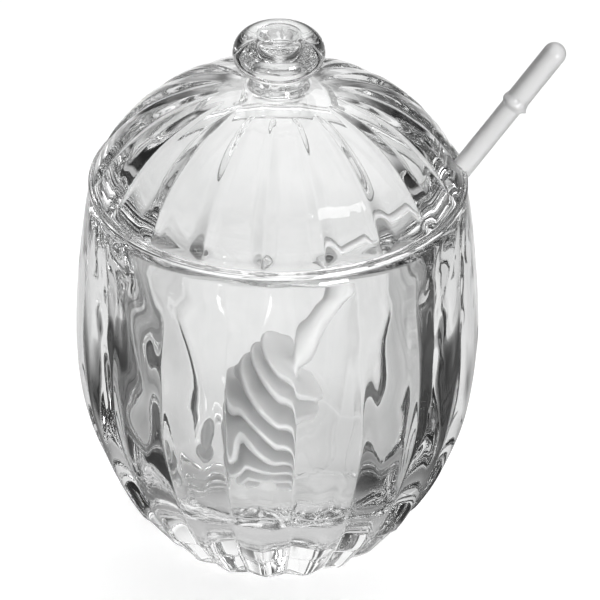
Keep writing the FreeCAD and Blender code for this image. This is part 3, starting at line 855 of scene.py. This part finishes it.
def sky_light(tree, where, direction, inner, outer, strength):
    """A smooth round patch: full within the inner angle of its direction, gone at the outer."""
    toward = tree.nodes.new("ShaderNodeVectorMath")
    toward.operation = "DOT_PRODUCT"
    long = sqrt(sum(v * v for v in direction))
    toward.inputs[1].default_value = [v / long for v in direction]
    tree.links.new(where, toward.inputs[0])
    return ranged(tree, toward.outputs["Value"], 0, strength, cos(radians(outer)),
                  cos(radians(inner)), "SMOOTHSTEP")


def make_world():
    """White for the camera. For other rays, the sum of the sky's base and its soft lights, or
    the ground's light where that is more."""
    world = bpy.data.worlds.new("studio")
    bpy.context.scene.world = world
    world.use_nodes = True
    tree = world.node_tree
    tree.nodes.clear()
    where, _, _, height = place_of(tree, "Generated")
    total = SKY_BASE
    for light in SKY_LIGHTS:
        total = calculated(tree, "ADD", sky_light(tree, where, *light), total)
    ground = ranged(tree, height, 0.0, OPEN_LIGHT, GROUND_START, GROUND_END, "SMOOTHSTEP")
    total = calculated(tree, "MAXIMUM", total, ground)
    camera_ray = tree.nodes.new("ShaderNodeLightPath").outputs["Is Camera Ray"]
    light = tree.nodes.new("ShaderNodeBackground")
    tree.links.new(blended(tree, camera_ray, total, (1, 1, 1)), light.inputs["Color"])
    out = tree.nodes.new("ShaderNodeOutputWorld")
    tree.links.new(light.outputs[0], out.inputs["Surface"])


make_world()
print(f"sky of {SKY_BASE} with {len(SKY_LIGHTS)} soft lights")

# %% [markdown]
# ## Lamps
#
# Two lamps light what isn't glass. The key lights the table and casts the pot's shadow there,
# and the side lamp models the dipper's grip. The glass doesn't mirror the key, because its
# square would show as a hard white patch.

# %% Lamps
def soft_lamp(name, place, aim, size, power):
    """A square area lamp at a place in metres, turned to its aim."""
    lamp = bpy.data.lights.new(name, "AREA")
    lamp.size, lamp.energy = size, power
    made = bpy.data.objects.new(name, lamp)
    made.location = place
    made.rotation_euler = (Vector(aim) - Vector(place)).to_track_quat("-Z", "Y").to_euler()
    bpy.context.scene.collection.objects.link(made)
    print(f"{name} lamp: {power} W from {size} m")
    return made


key = soft_lamp("key", (0.9, -0.5, 1.1), (0, 0, 0.06), 0.5, 4)
key.visible_glossy = False
soft_lamp("side", (0.65, -1.05, 0.2), (0, 0, 0.1), 0.35, 10)

# %% [markdown]
# ## Camera
#
# A long lens far away keeps the pot's sides nearly parallel. It looks down on the lid, so that
# the whole ring of the rim shows.

# %% Camera
LOOK_DOWN, ROLL = 30.5, 0.4            # degrees
DISTANCE, LENS = 4.0, 968.0            # metres from the aim, and mm of focal length
AIM = (0.0056, 0, 0.0639)              # metres: a little right of the axis, near half height


def make_camera():
    """The camera stands at aim + distance * back, where back is the direction that it looks
    away from, and is rolled about its own line."""
    lens = bpy.data.cameras.new("camera")
    lens.lens, lens.sensor_width = LENS, 36.0
    lens.clip_start, lens.clip_end = 0.05, 20
    made = bpy.data.objects.new("camera", lens)
    back = Vector((0, -cos(radians(LOOK_DOWN)), sin(radians(LOOK_DOWN))))
    made.location = Vector(AIM) + DISTANCE * back
    turn = (-back).to_track_quat("-Z", "Y").to_matrix() @ Matrix.Rotation(radians(ROLL), 3, "Z")
    made.rotation_euler = turn.to_euler()
    bpy.context.scene.collection.objects.link(made)
    bpy.context.scene.camera = made


make_camera()
print(f"camera {DISTANCE} m away, {LOOK_DOWN} degrees down")

# %% [markdown]
# ## Colour and light paths
#
# A ray crosses up to a dozen skins of glass before it reaches the white behind, so it is
# allowed many turns. With fewer, thick glass goes black.

# %% Light paths
GLASS_TURNS, MIRROR_TURNS = 32, 12
scene = bpy.context.scene
scene.view_settings.view_transform = "Standard"
scene.cycles.max_bounces = GLASS_TURNS
scene.cycles.transmission_bounces = GLASS_TURNS
scene.cycles.glossy_bounces = MIRROR_TURNS
scene.cycles.transparent_max_bounces = GLASS_TURNS
print(f"a ray may turn {GLASS_TURNS} times, {MIRROR_TURNS} of them in mirrors")
